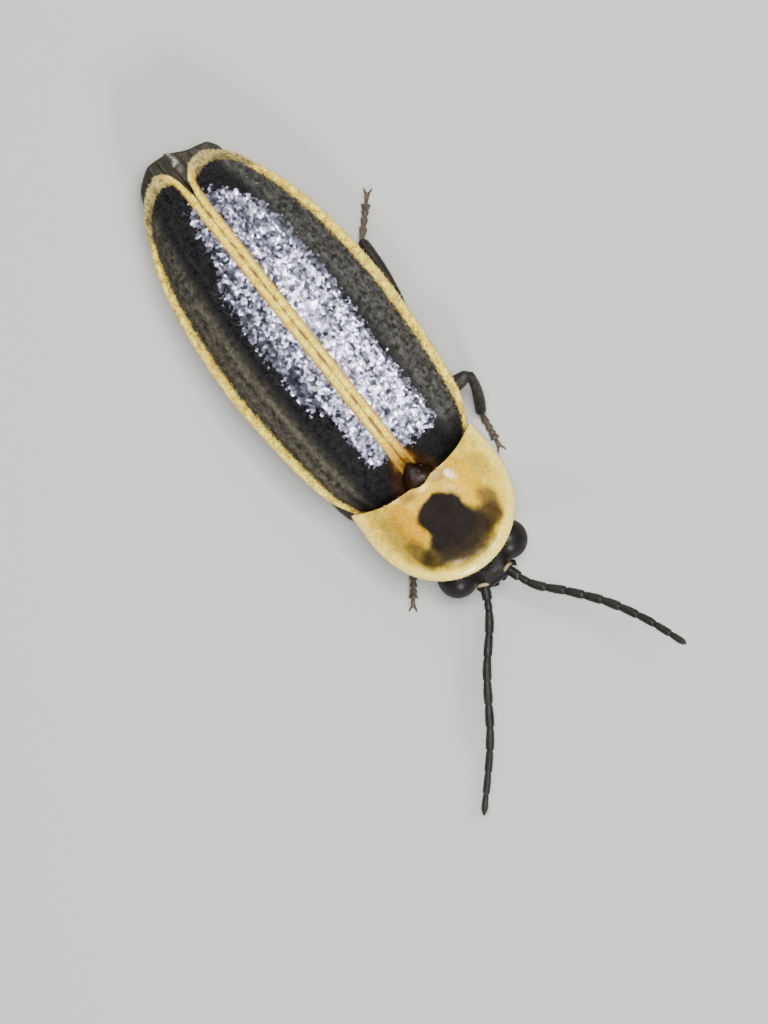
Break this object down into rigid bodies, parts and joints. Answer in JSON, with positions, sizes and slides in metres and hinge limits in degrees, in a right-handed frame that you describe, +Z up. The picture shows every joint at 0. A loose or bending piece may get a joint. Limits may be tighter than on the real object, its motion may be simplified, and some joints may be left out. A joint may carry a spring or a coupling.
{
  "type": "firefly beetle, still life-size model",
  "caption": "Resting firefly beetle with closed dark wing cases edged in pale yellow, a shield-like pronotum over the head, and long feelers; a still display animal.",
  "frame": {"origin": "centre of the whole model's footprint box, on the floor that the feet stand on", "axes": "+Z up, head and feelers towards -Y, the insect's left side towards +X"},
  "size_m": [0.0086, 0.02, 0.004],
  "materials": {
    "wing_case": "black-brown cuticle, finely granular and downy, with pale yellow seam and outer margins",
    "wing_membrane": "smoky folded membrane with darker veins",
    "pronotum": "waxy cream-yellow cuticle with orange patches and a dark central spot",
    "scutellum": "dark red-brown cuticle",
    "head": "black cuticle, satin",
    "eye": "black, faceted, glossy",
    "antenna": "black-brown cuticle with fine grey down",
    "thorax": "brown cuticle with fine down",
    "abdomen": "dark brown cuticle with paler edges",
    "lantern": "pale yellow light organ, waxy",
    "leg": "dark brown cuticle with grey down",
    "foot": "tan-grey downy cuticle"
  },
  "bodies": {
    "root": {"elytron_left": "wing_case", "hindwing_left": "wing_membrane", "eye_left": "eye", "antenna_left": "antenna", "elytron_right": "wing_case", "hindwing_right": "wing_membrane", "eye_right": "eye", "antenna_right": "antenna", "pronotum": "pronotum", "scutellum": "scutellum", "head": "head", "prothorax": "thorax", "mesothorax": "thorax", "metathorax": "thorax", "abdomen_segment_1": "abdomen", "abdomen_segment_2": "abdomen", "abdomen_segment_3": "abdomen", "abdomen_segment_4": "abdomen", "abdomen_segment_5": "abdomen", "abdomen_segment_6": "lantern", "abdomen_segment_7": "lantern", "pygidium": "abdomen", "leg_front_left_femur": "leg", "leg_front_left_tibia": "leg", "leg_front_left_tarsus": "foot", "leg_front_right_femur": "leg", "leg_front_right_tibia": "leg", "leg_front_right_tarsus": "foot", "leg_middle_left_femur": "leg", "leg_middle_left_tibia": "leg", "leg_middle_left_tarsus": "foot", "leg_middle_right_femur": "leg", "leg_middle_right_tibia": "leg", "leg_middle_right_tarsus": "foot", "leg_hind_left_femur": "leg", "leg_hind_left_tibia": "leg", "leg_hind_left_tarsus": "foot", "leg_hind_right_femur": "leg", "leg_hind_right_tibia": "leg", "leg_hind_right_tarsus": "foot"}
  },
  "joints": []
}
